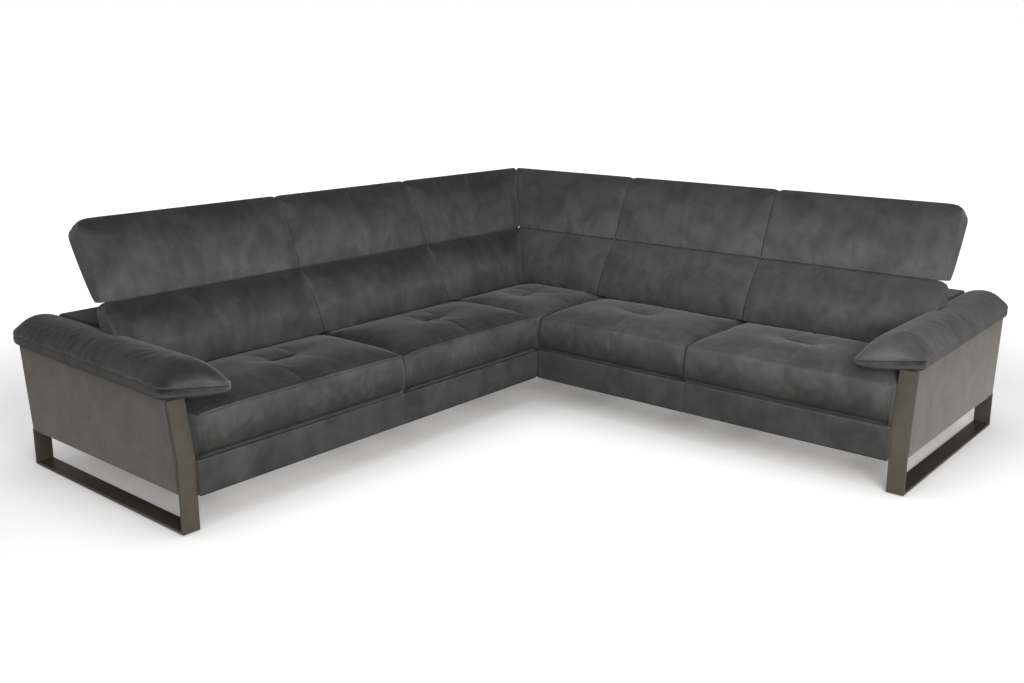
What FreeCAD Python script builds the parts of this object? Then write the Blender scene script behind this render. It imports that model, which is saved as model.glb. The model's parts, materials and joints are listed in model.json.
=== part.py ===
import FreeCAD, Part

import os

import Sketcher

# Corner sofa with two wings of two seats each, a square corner seat, flat-bar sled legs,
# padded arms and six folding headrests. Millimetres, +Z up.
#
# Each wing has coordinates of its own: u is the depth from the back towards the front edge
# of the seats, v runs along the wing from the corner, and z is up. The left wing lies along
# -Y with its seats facing +X, and the right wing lies along +X with its seats facing -Y.

drivingSizes = {
    # overall lengths of the wings, from the corner's back line to the arm's outer face
    "leftReach": 2895,
    "rightReach": 2729,
    # sled leg of bent flat bar
    "glideThick": 3,
    "glideSide": 46,
    "barThick": 12,
    "barWidth": 67,
    "legFront": 974,
    "legRear": -64,
    "legBend": 264,
    "legTopFront": 931,
    "legTop": 474,
    "flangeLong": 90,
    "flangeThick": 8,
    # arm panel and the pad on it
    "panelBottom": 145,
    "panelTopRear": 492,
    "panelRearLean": 47,
    "padTail": 155,
    "padNose": 1000,
    "padOverhang": 12,
    "padBand": 42,
    "padCrest": 614,
    "padReach": 242,
    # base frame of wooden rails under the seats
    "plinthFront": 990,
    "plinthBottom": 128,
    "plinthTop": 262,
    "plinthThick": 58,
    "railThick": 45,
    "railBottom": 150,
    "railTop": 258,
    "webThick": 6,
    "webWide": 60,
    # upholstered back body
    "backTop": 588,
    "backRearLean": 54,
    "backLip": 30,
    "backShelfFront": 285,
    "backFront": 384,
    "backStep": 436,
    "backWall": 14,
    "backEndInset": 173,
    "backCorner": 22,
    # seat cushions
    "seatRear": 392,
    "seatFront": 1011,
    "seatBottom": 265,
    "seatSeam": 430,
    "seatSeamFront": 995,
    "seatTuckFront": 515,
    "seatCrown": 32,
    "seatGap": 2,
    "tuftDepth": 745,
    "tuftHalf": 66,
    "tuftWide": 16,
    "tuftDeep": 11,
    # lower back cushions
    "backSeatLine": 500,
    "creaseDepth": 349,
    "crease": 699,
    "backBulge": 30,
    "backCushionInset": 107,
    "armNotchTop": 622,
    "armNotchInset": 252,
    # headrests
    "headTop": 1001,
    "headTopDepth": 180,
    "headThick": 84,
    "headBulge": 19,
    "hingeDepth": 268,
    "hingeHeight": 664,
    "pinRadius": 5,
    "pinClearance": 0.05,
    "earThick": 5,
    "armThick": 6,
    "boardThick": 15,
    # where one cushion ends and the next begins, along each wing
    "leftSplit": 1852,
    "rightSplit": 1783,
    "leftCornerSplit": 1070,
    "rightCornerSplit": 977,
    "unitSplit": 1011,
}

document = FreeCAD.newDocument("cornerSofa")
sheet = document.addObject("Spreadsheet::Sheet", "Sizes")


class Length:
    # A number of millimetres together with the sheet expression that gives it.
    def __init__(self, value, text):
        self.value = float(value)
        self.text = text

    def joined(self, sign, other, value):
        return Length(value, "(%s %s %s)" % (self.text, sign, other.text))

    def __add__(self, other):
        other = length(other)
        return self.joined("+", other, self.value + other.value)

    def __sub__(self, other):
        other = length(other)
        return self.joined("-", other, self.value - other.value)

    def __mul__(self, other):
        other = length(other)
        return self.joined("*", other, self.value * other.value)

    def __truediv__(self, other):
        other = length(other)
        return self.joined("/", other, self.value / other.value)

    def __radd__(self, other):
        return length(other) + self

    def __rsub__(self, other):
        return length(other) - self

    def __neg__(self):
        return Length(-self.value, "(-%s)" % self.text)

    def __float__(self):
        return self.value


def length(value):
    return value if isinstance(value, Length) else Length(value, "%.6g" % value)


size = {}
for row, (word, number) in enumerate(drivingSizes.items(), start=1):
    sheet.set("A%d" % row, word)
    sheet.set("B%d" % row, str(number))
    sheet.setAlias("B%d" % row, word)
    size[word] = Length(number, "Sizes." + word)
document.recompute()

# The origin is under the middle of the whole sofa, on the floor.
middleX = (size["rightReach"] + size["padOverhang"] - size["padTail"]) / 2
middleY = (size["padTail"] - size["leftReach"] - size["padOverhang"]) / 2

nodes = []


class Wing:
    def __init__(self, name, mirror, turn, reach, split, cornerSplit):
        self.name = name
        self.mirror = mirror  # sign of local Y along the wing
        self.turn = turn  # degrees about Z
        self.reach = reach
        self.split = split
        self.cornerSplit = cornerSplit


left = Wing("left", -1, 0, size["leftReach"], size["leftSplit"], size["leftCornerSplit"])
right = Wing("right", 1, -90, size["rightReach"], size["rightSplit"], size["rightCornerSplit"])
wings = (left, right)


def place(item, turn):
    base = FreeCAD.Vector(-middleX.value, -middleY.value, 0)
    item.Placement = FreeCAD.Placement(base, FreeCAD.Rotation(FreeCAD.Vector(0, 0, 1), turn))
    item.setExpression(".Placement.Base.x", (-middleX).text)
    item.setExpression(".Placement.Base.y", (-middleY).text)


def keep(item, label, turn):
    item.Label = label
    place(item, turn)
    nodes.append(item)
    return item


# Sketches and the features made from them

def newBody(label, turn):
    return keep(document.addObject("PartDesign::Body", label), label, turn)


def sketchOn(body, role, offset):
    sketch = body.newObject("Sketcher::SketchObject", "outline")
    planes = [plane for plane in body.Origin.OriginFeatures if plane.Role == role]
    sketch.AttachmentSupport = (planes[0], "")
    sketch.MapMode = "FlatFace"
    sketch.setExpression(".AttachmentOffset.Base.z", length(offset).text)
    sketch.Visibility = False
    return sketch


def tie(sketch, edge, point, corner):
    # Holds one sketch point at its distances from the origin.
    for kind, axis, distance in (("DistanceX", -2, corner[0]), ("DistanceY", -1, corner[1])):
        distance = length(distance)
        if distance.value == 0:
            sketch.addConstraint(Sketcher.Constraint("PointOnObject", edge, point, axis))
            continue
        ends = (-1, 1, edge, point) if distance.value > 0 else (edge, point, -1, 1)
        held = distance if distance.value > 0 else -distance
        index = sketch.addConstraint(Sketcher.Constraint(kind, *ends, held.value))
        sketch.setExpression("Constraints[%d]" % index, held.text)


def outline(sketch, corners):
    first = sketch.GeometryCount
    points = [FreeCAD.Vector(float(length(x)), float(length(y)), 0) for x, y in corners]
    count = len(points)
    for i in range(count):
        sketch.addGeometry(Part.LineSegment(points[i], points[(i + 1) % count]))
    for i in range(count):
        following = first + (i + 1) % count
        sketch.addConstraint(Sketcher.Constraint("Coincident", first + i, 2, following, 1))
        tie(sketch, first + i, 1, corners[i])


def ring(sketch, centre, radius):
    radius = length(radius)
    middle = FreeCAD.Vector(float(length(centre[0])), float(length(centre[1])), 0)
    edge = sketch.addGeometry(Part.Circle(middle, FreeCAD.Vector(0, 0, 1), radius.value))
    tie(sketch, edge, 3, centre)
    index = sketch.addConstraint(Sketcher.Constraint("Radius", edge, radius.value))
    sketch.setExpression("Constraints[%d]" % index, radius.text)


def extrude(body, kind, sketch, distance, backwards):
    feature = body.newObject("PartDesign::" + kind, kind.lower())
    feature.Profile = sketch
    feature.Reversed = backwards
    feature.setExpression("Length", length(distance).text)
    body.Tip = feature
    document.recompute()
    return feature


def acrossWing(body, wing, kind, start, distance, corners, circles=()):
    # Pad or Pocket of an outline in u and z, from v = start for the given distance. The plane's
    # normal is -Y, which is the way the left wing runs.
    start = length(start)
    sketch = sketchOn(body, "XZ_Plane", start if wing.mirror < 0 else -start)
    if corners:
        outline(sketch, corners)
    for centre, radius in circles:
        ring(sketch, centre, radius)
    towardsEnd = wing.mirror > 0
    return extrude(body, kind, sketch, distance, towardsEnd if kind == "Pad" else not towardsEnd)


def upright(body, wing, kind, bottom, distance, corners, circles=()):
    # Pad or Pocket of a plan outline in u and v, from z = bottom upwards.
    sketch = sketchOn(body, "XY_Plane", bottom)
    if corners:
        outline(sketch, [(u, length(v) * wing.mirror) for u, v in corners])
    for centre, radius in circles:
        ring(sketch, (centre[0], length(centre[1]) * wing.mirror), radius)
    return extrude(body, kind, sketch, distance, kind == "Pocket")


def dress(body, kind, chosen, amount):
    # Fillet or Chamfer on the tip's edges that the test picks.
    base = body.Tip
    names = ["Edge%d" % (i + 1) for i, edge in enumerate(base.Shape.Edges) if chosen(edge)]
    if not names:
        raise RuntimeError(body.Label + ": no edge to " + kind)
    feature = body.newObject("PartDesign::" + kind, kind.lower())
    feature.Base = (base, names)
    prop = "Radius" if kind == "Fillet" else "Size"
    feature.setExpression(prop, length(amount).text)
    body.Tip = feature
    document.recompute()
    return feature


def endsAt(edge, test):
    return all(test(vertex.Point) for vertex in edge.Vertexes)


def near(value, target):
    return abs(value - float(length(target))) < 0.6


# Groups of boxes and round pieces

def box(corner, extent):
    item = document.addObject("Part::Box", "box")
    for prop, distance in zip(("Length", "Width", "Height"), extent):
        item.setExpression(prop, length(distance).text)
    stand(item, corner[:2], corner[2])
    return item


def wingBox(wing, u, v, z, alongU, alongV, alongZ):
    start = length(v) if wing.mirror > 0 else -(length(v) + alongV)
    return box((u, start, z), (alongU, alongV, alongZ))


def sofaPoint(wing, u, v):
    # A wing's u and v as the x and y that both wings share.
    return (length(u), -length(v)) if wing.mirror < 0 else (length(v), -length(u))


def stand(item, place, z):
    for axis, distance in zip("xyz", (*place, z)):
        item.setExpression(".Placement.Base." + axis, length(distance).text)


def cylinder(place, z, radius, tall):
    item = document.addObject("Part::Cylinder", "cylinder")
    item.setExpression("Radius", length(radius).text)
    item.setExpression("Height", length(tall).text)
    stand(item, place, z)
    return item


def joined(label, items, turn):
    fuse = document.addObject("Part::MultiFuse", label)
    fuse.Shapes = items
    return keep(fuse, label, turn)


def group(label, items, turn):
    # Separate solids that share one node.
    held = document.addObject("Part::Compound", label)
    held.Links = items
    return keep(held, label, turn)


# Forms of foam and fabric

def soft(label, shape, turn):
    item = document.addObject("Part::Feature", label)
    item.Shape = shape
    return keep(item, label, turn)


def arc(a, b, c):
    return Part.Arc(a, b, c).toShape()


def line(a, b):
    return Part.LineSegment(a, b).toShape()


def bowed(a, b, rise):
    # An arc from a to b that stands out by rise, to the left of the way from a to b.
    run = b - a
    across = FreeCAD.Vector(-run.z, 0, run.x).normalize()
    return arc(a, (a + b) * 0.5 + across * rise, b)


def chords(curve, count):
    # A round stretch as straight chords, which keeps the faces of a twisting form few.
    points = curve.discretize(count + 1)
    return [line(a, b) for a, b in zip(points, points[1:])]


def wireAt(y, edges):
    wire = Part.Wire(edges)
    wire.translate(FreeCAD.Vector(0, y, 0))
    return wire


def solid(shape):
    # The same solid with its faces pointing outwards.
    if shape.Volume < 0:
        shape.reverse()
    return shape


def lofted(wires):
    return solid(Part.makeLoft(wires, True, True))


def at(u, z):
    return FreeCAD.Vector(float(length(u)), 0, float(length(z)))


def halfSpace(wing):
    # Everything on the corner's far side of the mitre, where v is less than u.
    reach = 3000
    points = [(-reach, -reach), (reach, reach), (reach, -reach)]
    corners = [FreeCAD.Vector(u, v * wing.mirror, 0) for u, v in points]
    face = Part.Face(Part.makePolygon(corners + corners[:1]))
    return solid(face.extrude(FreeCAD.Vector(0, 0, reach)))


def mitred(shape, wing, clearance):
    cutter = halfSpace(wing)
    cutter.translate(FreeCAD.Vector(0, clearance * wing.mirror, 0))
    return shape.cut(cutter)


# Sled legs, glides and leg bolts

cornerRadius = 4
boltRadius = 4
boltClearance = 4.4
boltPlaces = (size["legRear"] + 38, size["legRear"] + 72)
boltLong = 32
headAcross = 13
headTall = 5
glideInset = 40


def sledLeg(wing):
    body = newBody(wing.name + "_sled_leg", wing.turn)
    floorLine = size["glideThick"]
    flangeTop = size["panelBottom"] + size["flangeThick"]
    rear = size["legRear"]
    front = size["legFront"]
    bar = size["barThick"]
    corners = [
        (rear, flangeTop),
        (rear, floorLine),
        (front, floorLine),
        (front, size["legBend"]),
        (size["legTopFront"], size["legTop"]),
        (size["legTopFront"] - bar, size["legTop"]),
        (front - bar, size["legBend"]),
        (front - bar, floorLine + bar),
        (rear + bar, floorLine + bar),
        (rear + bar, size["panelBottom"]),
        (rear + size["flangeLong"], size["panelBottom"]),
        (rear + size["flangeLong"], flangeTop),
    ]
    start = wing.reach - size["barWidth"]
    acrossWing(body, wing, "Pad", start, size["barWidth"], corners)
    dress(body, "Fillet", lambda edge: endsAt(edge, lambda p: near(p.z, floorLine)
          and (near(p.x, rear) or near(p.x, front))), cornerRadius)
    holes = [((u, wing.reach - size["barWidth"] / 2), boltClearance) for u in boltPlaces]
    upright(body, wing, "Pocket", size["panelBottom"], size["flangeThick"], [], holes)
    return body


def floorGlides():
    # Felt squares under both ends of each runner.
    side = size["glideSide"]
    pads = []
    for wing in wings:
        middle = wing.reach - size["barWidth"] / 2
        for u in (size["legRear"] + glideInset, size["legFront"] - glideInset):
            x, y = sofaPoint(wing, u, middle)
            pads.append(box((x - side / 2, y - side / 2, 0), (side, side, size["glideThick"])))
    group("floor_glides", pads, 0)


def legBolts():
    bolts = []
    for wing in wings:
        for u in boltPlaces:
            middle = sofaPoint(wing, u, wing.reach - size["barWidth"] / 2)
            head = document.addObject("Part::Prism", "head")
            head.Polygon = 6
            head.setExpression("Circumradius", "%g / sqrt(3)" % headAcross)
            head.setExpression("Height", length(headTall).text)
            stand(head, middle, size["panelBottom"] - headTall)
            bolt = document.addObject("Part::Fuse", "bolt")
            bolt.Base = head
            bolt.Tool = cylinder(middle, size["panelBottom"], boltRadius, boltLong)
            bolts.append(bolt)
    group("leg_bolts", bolts, 0)


# Arms

panelTopFront = size["legTop"] + 4
panelEdge = 8


def armPanel(wing):
    body = newBody(wing.name + "_arm_panel", wing.turn)
    rear = size["legRear"]
    front = size["legFront"] - size["barThick"]
    bottom = size["panelBottom"]
    lean = (size["legFront"] - size["legTopFront"]) / (size["legTop"] - size["legBend"])
    corners = [
        (rear, bottom),
        (rear - size["panelRearLean"], size["panelTopRear"]),
        (front - lean * (panelTopFront - size["legBend"]), panelTopFront),
        (front, size["legBend"]),
        (front, bottom),
    ]
    start = wing.reach - size["barWidth"]
    acrossWing(body, wing, "Pad", start, size["barWidth"], corners)
    dress(body, "Fillet", lambda edge: endsAt(edge, lambda p: near(abs(p.y), wing.reach)), panelEdge)
    recess = [
        (rear - 1, bottom - 1),
        (rear - 1, bottom + size["flangeThick"]),
        (rear + size["flangeLong"] + 1, bottom + size["flangeThick"]),
        (rear + size["flangeLong"] + 1, bottom - 1),
    ]
    acrossWing(body, wing, "Pocket", start - 1, size["barWidth"] + 2, recess)
    holes = [((u, wing.reach - size["barWidth"] / 2), boltRadius) for u in boltPlaces]
    upright(body, wing, "Pocket", bottom, boltLong + 4, [], holes)
    return body


def armPad(wing):
    # Leaf-shaped section: a straight outer band up to the seam, a crown over the panel and a
    # thin inner edge that hangs over the seat.
    fall = size["panelTopRear"].value - panelTopFront.value
    frontEnd = size["legTopFront"].value - size["barThick"].value
    rearEnd = size["legRear"].value - size["panelRearLean"].value
    reach = wing.reach.value
    over = -size["padOverhang"].value
    wide = size["padReach"].value
    narrow = size["backEndInset"].value - 4
    rise = size["padCrest"].value - size["panelTopRear"].value
    band = size["padBand"].value
    tail = -size["padTail"].value
    nose = size["padNose"].value
    backFace = size["backFront"].value

    # depth, outer inset, inner inset, lift of the underside, band, rise of the crown, inner edge
    stations = [
        (tail, 24, 128, 22, 8, 70, 10),
        (tail + 40, over, narrow, 1.5, band, rise, 66),
        (backFace - 6, over, narrow, 1.5, band, rise, 66),
        (backFace + 30, over, wide, 1.5, band, rise + 4, 18),
        (nose - 75, over, wide, 1.5, band, rise + 4, 18),
        (nose - 18, over + 4, wide - 6, 4, band - 4, rise - 32, 16),
        (nose, over + 14, wide - 22, 12, 20, rise - 76, 10),
    ]
    wires = []
    for u, outer, inner, lift, side, height, edge in stations:
        along = (min(max(u, rearEnd), frontEnd) - rearEnd) / (frontEnd - rearEnd)
        under = size["panelTopRear"].value - fall * along + lift
        low = FreeCAD.Vector(u, reach - outer, under)
        seam = FreeCAD.Vector(u, reach - outer, under + side)
        crown = FreeCAD.Vector(u, reach - (outer + inner) / 2, under + height)
        lip = FreeCAD.Vector(u, reach - inner, under + edge)
        keel = FreeCAD.Vector(u, reach - inner + edge * 0.2, under)
        top = chords(arc(seam, crown, lip), 4)
        wire = Part.Wire([line(low, seam), *top, line(lip, keel), line(keel, low)])
        if wing.mirror < 0:
            wire = wire.mirror(FreeCAD.Vector(0, 0, 0), FreeCAD.Vector(0, 1, 0))
        wires.append(wire)
    return soft(wing.name + "_arm_pad", lofted(wires), wing.turn)


# Wooden base frames, plinth covers, webbing and feet

rearBeam = -28
middleBeam = 420
frontBeam = size["plinthFront"] - size["plinthThick"] - size["railThick"]
railTall = size["railTop"] - size["railBottom"]


def baseFrame(wing):
    start = size["unitSplit"]
    end = wing.reach - size["barWidth"]
    rail = size["railThick"]
    inside = frontBeam - rearBeam - rail
    items = []
    for u in (rearBeam, middleBeam, frontBeam):
        items.append(wingBox(wing, u, start, size["railBottom"], rail, end - start, railTall))
    for v in (start, wing.split - rail / 2, end - rail):
        items.append(wingBox(wing, rearBeam + rail, v, size["railBottom"], inside, rail, railTall))
    return joined(wing.name + "_base_frame", items, wing.turn)


def cornerFrame():
    rail = size["railThick"]
    end = size["unitSplit"]
    low = size["railBottom"]
    outer = end - rearBeam
    frontCorner = size["plinthFront"] - size["plinthThick"]
    items = []
    for u in (rearBeam, middleBeam, frontBeam):
        items.append(box((u, -end, low), (rail, outer, railTall)))
    for v in (rearBeam, middleBeam, frontBeam):
        items.append(box((rearBeam, -(length(v) + rail), low), (outer, rail, railTall)))
    thick = size["plinthThick"]
    cornerPost = box((frontCorner, -size["plinthFront"], size["plinthBottom"]),
                     (thick, thick, size["plinthTop"] - size["plinthBottom"]))
    trimmed = document.addObject("Part::Cut", "frame")
    whole = document.addObject("Part::MultiFuse", "rails")
    whole.Shapes = items
    trimmed.Base = whole
    # The post stands where the front rails would cross.
    trimmed.Tool = box((frontCorner, -end, 0), (end, end - frontCorner, size["seatSeam"]))
    keep(trimmed, "corner_base_frame", 0)
    group("corner_plinth_post", [cornerPost], 0)


plinthEdge = 7


def frontRail(wing):
    body = newBody(wing.name + "_front_rail", wing.turn)
    start = size["plinthFront"] + 0.5
    front = size["plinthFront"]
    rear = front - size["plinthThick"]
    corners = [
        (rear, size["plinthBottom"]),
        (rear, size["plinthTop"]),
        (front, size["plinthTop"]),
        (front, size["plinthBottom"]),
    ]
    acrossWing(body, wing, "Pad", start, wing.reach - size["barWidth"] - start, corners)
    dress(body, "Fillet", lambda edge: endsAt(edge, lambda p: near(p.x, front))
          and abs(edge.Vertexes[0].Z - edge.Vertexes[-1].Z) < 1, plinthEdge)
    return body


strapPitch = 118


def webbing(wing):
    start = size["unitSplit"].value + 30
    end = wing.reach.value - size["barWidth"].value - 30 - size["webWide"].value
    count = int((end - start) / strapPitch) + 1
    step = (end - start) / (count - 1)
    straps = []
    for i in range(count):
        v = start + step * i
        straps.append(wingBox(wing, rearBeam + 4, v, size["railTop"],
                              frontBeam - rearBeam + size["railThick"] - 8,
                              size["webWide"], size["webThick"]))
    group(wing.name + "_seat_webbing", straps, wing.turn)


def cornerWebbing():
    start = 30
    end = size["unitSplit"].value - 60 - size["webWide"].value
    count = int((end - start) / strapPitch) + 1
    step = (end - start) / (count - 1)
    straps = []
    for i in range(count):
        v = start + step * i
        straps.append(box((rearBeam + 4, -(length(v) + size["webWide"]), size["railTop"]),
                          (frontBeam - rearBeam + size["railThick"] - 8,
                           size["webWide"], size["webThick"])))
    group("corner_seat_webbing", straps, 0)


footWide = 44


def supportFeet():
    # Plain block feet under the rails, far back, at the unit ends and in the corner.
    rail = size["railThick"]
    lines = [rearBeam + rail / 2, middleBeam + rail / 2]
    places = [(u, -u) for u in lines]
    for wing in wings:
        for v in (size["unitSplit"] + rail / 2, wing.split):
            places += [sofaPoint(wing, u, v) for u in lines]
    half = footWide / 2
    feet = [box((x - half, y - half, 0), (footWide, footWide, size["railBottom"])) for x, y in places]
    group("support_feet", feet, 0)


# Upholstered back bodies with their inner frames

def backProfile(inset, top):
    # Section of the back body: the rear leans out, the front leans back like the cushions.
    wall = length(inset)
    rear = size["legRear"] + wall
    lean = size["backRearLean"] / (size["backTop"] - size["panelBottom"])
    slope = (size["backFront"] - size["backShelfFront"]) / (size["backTop"] - size["backStep"])
    roof = length(top) - wall
    bottom = size["panelBottom"] + wall
    deck = size["plinthTop"] + 3 + wall
    lipDepth = size["backLip"] + wall * -1
    corners = [
        (rear, bottom),
        (rear - lean * (roof - bottom), roof),
        (size["backFront"] - wall - slope * (roof - size["backStep"]), roof),
        (size["backFront"] - wall, size["backStep"]),
        (size["backFront"] - wall, deck),
    ]
    if inset:
        corners[0] = (rear, deck)
        corners[1] = (rear - lean * (roof - deck), roof)
    else:
        corners += [(-lipDepth, deck), (-lipDepth, bottom)]
    return corners


armUnder = 474  # the back body's top beside the arm panel
frameLine = 205  # depth of the inner frame


def backCover(wing):
    body = newBody(wing.name + "_back_cover", wing.turn)
    start = size["unitSplit"] + 1
    notch = wing.reach - size["backEndInset"]
    end = wing.reach - size["barWidth"] - 1
    wall = size["backWall"]
    acrossWing(body, wing, "Pad", start, notch - start, backProfile(0, size["backTop"]))
    top = size["backTop"]
    dress(body, "Fillet", lambda edge: endsAt(edge, lambda p: near(p.z, top))
          and abs(edge.Vertexes[0].X - edge.Vertexes[-1].X) < 1, size["backCorner"])
    acrossWing(body, wing, "Pad", notch, end - notch, backProfile(0, armUnder))
    inner = backProfile(wall.value, size["backTop"])
    acrossWing(body, wing, "Pocket", start + wall, notch - start - wall * 2, inner)
    return body


def backFrame(wing):
    rail = size["railThick"]
    wall = size["backWall"]
    start = size["unitSplit"] + 1 + wall
    end = wing.reach - size["backEndInset"] - wall
    low = size["plinthTop"] + 3 + wall
    high = size["backTop"] - wall
    items = [
        wingBox(wing, frameLine, start, low, rail, end - start, rail),
        wingBox(wing, frameLine, start, high - rail, rail, end - start, rail),
    ]
    for v in (start, wing.split - rail / 2, end - rail):
        items.append(wingBox(wing, frameLine, v, low, rail, rail, high - low))
    return joined(wing.name + "_back_frame", items, wing.turn)


def prism(corners, wing, start, end):
    points = [FreeCAD.Vector(float(length(u)), start * wing.mirror, float(length(z)))
              for u, z in corners]
    face = Part.Face(Part.makePolygon(points + points[:1]))
    return solid(face.extrude(FreeCAD.Vector(0, (end - start) * wing.mirror, 0)))


def turned(shape, wing):
    copy = shape.copy()
    copy.rotate(FreeCAD.Vector(0, 0, 0), FreeCAD.Vector(0, 0, 1), wing.turn)
    return copy


def lShape(corners, end):
    halves = [turned(mitred(prism(corners, wing, -400, end), wing, 0), wing) for wing in wings]
    return halves[0].fuse(halves[1]).removeSplitter()


def cornerBackCover():
    end = size["unitSplit"].value
    wall = size["backWall"].value
    shell = lShape(backProfile(0, size["backTop"]), end)
    hollow = lShape(backProfile(wall, size["backTop"]), end - wall)
    return soft("corner_back_cover", shell.cut(hollow), 0)


def cornerBackFrame():
    rail = size["railThick"]
    wall = size["backWall"]
    end = size["unitSplit"] - wall
    low = size["plinthTop"] + 3 + wall
    high = size["backTop"] - wall
    items = []
    for z in (low, high - rail):
        items.append(box((frameLine, -end, z), (rail, end - frameLine, rail)))
        items.append(box((frameLine, -(rail + frameLine), z), (end - frameLine, rail, rail)))
    for along in (length(frameLine), end - rail):
        items.append(box((frameLine, -(along + rail), low), (rail, rail, high - low)))
        items.append(box((along, -(rail + frameLine), low), (rail, rail, high - low)))
    return joined("corner_back_frame", items, 0)


# Seat cushions

clearAbove = 6  # how far a tuft's cutter starts above the crown
frontTuck = 7  # how far the front face draws in at its foot
bellyUp = 78  # height of the front face's fullest line above its foot


def tuftNotch(u, y, z):
    # A sewn tuft: a boat-shaped dent, deepest in its middle.
    half = size["tuftHalf"].value
    wide = size["tuftWide"].value
    rim = [FreeCAD.Vector(u, y - half, z + clearAbove), FreeCAD.Vector(u + wide, y, z + clearAbove),
           FreeCAD.Vector(u, y + half, z + clearAbove), FreeCAD.Vector(u - wide, y, z + clearAbove)]
    keel = FreeCAD.Vector(u, y, z - size["tuftDeep"].value)
    faces = [Part.Face(Part.makePolygon(rim + rim[:1]))]
    for i in range(4):
        faces.append(Part.Face(Part.makePolygon([rim[i], rim[(i + 1) % 4], keel, rim[i]])))
    return solid(Part.makeSolid(Part.makeShell(faces)))


def seatSection(y, crown, pull):
    # Section of a seat cushion; pull draws the front face in near the cushion's ends.
    rear = at(size["seatRear"], size["seatBottom"])
    front = at(size["seatFront"] - frontTuck - pull, size["seatBottom"])
    belly = at(size["seatFront"] - pull, size["seatBottom"] + bellyUp)
    seam = at(size["seatSeamFront"] - pull, size["seatSeam"] - pull)
    tuck = at(size["seatTuckFront"], size["seatSeam"])
    top = at((size["seatSeamFront"] + size["seatTuckFront"]) / 2, size["seatSeam"] + crown)
    back = at(size["seatRear"], size["seatSeam"])
    face = chords(arc(front, belly, seam), 2)
    crowned = chords(arc(seam, top, tuck), 6)
    return wireAt(y, [line(rear, front), *face, *crowned, line(tuck, back), line(back, rear)])


def seatCushion(wing, label, start, end, tuftPlace):
    gap = size["seatGap"].value / 2
    a = float(length(start)) + gap
    b = float(length(end)) - gap
    crown = size["seatCrown"].value
    ends = [(0, crown * 0.3, 6), (36, crown * 0.75, 1), (150, crown, 0)]
    stations = [(a + inward, rise, pull) for inward, rise, pull in ends]
    stations += [(b - inward, rise, pull) for inward, rise, pull in reversed(ends)]
    shape = lofted([seatSection(v * wing.mirror, rise, pull) for v, rise, pull in stations])
    tuft = tuftNotch(size["tuftDepth"].value, tuftPlace * wing.mirror, size["seatSeam"].value + crown)
    return soft(label, shape.cut(tuft), wing.turn)


def cornerSeat():
    gap = size["seatGap"].value / 2
    a = size["seatRear"].value
    b = size["unitSplit"].value - gap
    tuck = size["seatTuckFront"].value
    crown = size["seatCrown"].value
    # place along the wing, height of the crown, how far the front draws in
    stations = [(a, 0.5, 2), (tuck, 2, 2), (tuck + 60, crown * 0.5, 2), (tuck + 160, crown, 2),
                (b - 110, crown, 2), (b - 30, crown * 0.7, 2), (b, crown * 0.3, 6)]
    wires = []
    for v, rise, pull in stations:
        front = b - pull
        rear = at(a, size["seatBottom"])
        low = at(front, size["seatBottom"])
        seam = at(front - 4, size["seatSeam"])
        flat = at(tuck, size["seatSeam"])
        top = at((tuck + front) / 2, size["seatSeam"] + rise)
        back = at(a, size["seatSeam"])
        crowned = chords(arc(seam, top, flat), 6)
        wires.append(wireAt(-v, [line(rear, low), line(low, seam), *crowned, line(flat, back),
                                 line(back, rear)]))
    middle = (tuck + b) / 2
    tuft = tuftNotch(middle - 20, -middle, size["seatSeam"].value + crown)
    return soft("corner_seat_cushion", lofted(wires).cut(tuft), 0)


# Lower back cushions

mitreRoom = 1  # half the gap between two mitred cushions
notchRear = 250
notchDeep = 400


def backSection(y, bulge, drop):
    bottom = size["backStep"] + 2
    rear = at(size["backFront"] + 4, bottom)
    front = at(size["backSeatLine"], bottom)
    crease = at(size["creaseDepth"] - drop * 0.3, size["crease"] - drop)
    rim = at(size["backShelfFront"] + 12, size["crease"] - 10 - drop)
    step = at(size["backShelfFront"] + 8, size["backTop"] + 8)
    face = chords(bowed(front, crease, -bulge), 4)
    return wireAt(y, [line(rear, front), *face, line(crease, rim), line(rim, step),
                      line(step, rear)])


def backCushion(wing, label, start, end, beside, notched):
    gap = size["seatGap"].value / 2
    b = float(length(end)) - gap
    bulge = size["backBulge"].value
    ends = [(0, bulge * 0.55, 5), (34, bulge * 0.85, 1), (130, bulge, 0)]
    if beside:
        a = float(length(start)) + gap
        stations = [(a + inward, rise, drop) for inward, rise, drop in ends]
    else:
        stations = [(float(length(start)), bulge, 0)]
    stations += [(b - inward, rise, drop) for inward, rise, drop in reversed(ends)]
    shape = lofted([backSection(v * wing.mirror, rise, drop) for v, rise, drop in stations])
    if not beside:
        shape = mitred(shape, wing, mitreRoom)
    if notched:
        # The arm pad passes under the cushion's outer corner.
        deep = size["armNotchInset"].value
        edge = (wing.reach.value - deep) * wing.mirror
        low = size["seatSeam"].value - 20
        tall = size["armNotchTop"].value - low
        corner = FreeCAD.Vector(notchRear, min(edge, edge + deep * wing.mirror), low)
        shape = shape.cut(Part.makeBox(notchDeep, deep, tall, corner))
    return soft(label, shape, wing.turn)


# Headrests: a pad over an inner board, carried by two hinge arms

leanCos = 0.866
leanSin = 0.5
boardHalf = 95
boardDepth = 261
boardHeight = 843
boardInset = 90
slotRoom = 0.6
flangeDeep = 5
flangeWide = 40
hubRadius = 13
hubBevel = 6
earGap = 0.5
armInset = 0.22
headGap = 1.5
bracketFoot = 44


def alongBoard(along, out):
    # A point given along the headrest's lean and square to it, towards the front.
    return (boardDepth - along * leanSin + out * leanCos,
            boardHeight + along * leanCos + out * leanSin)


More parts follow.
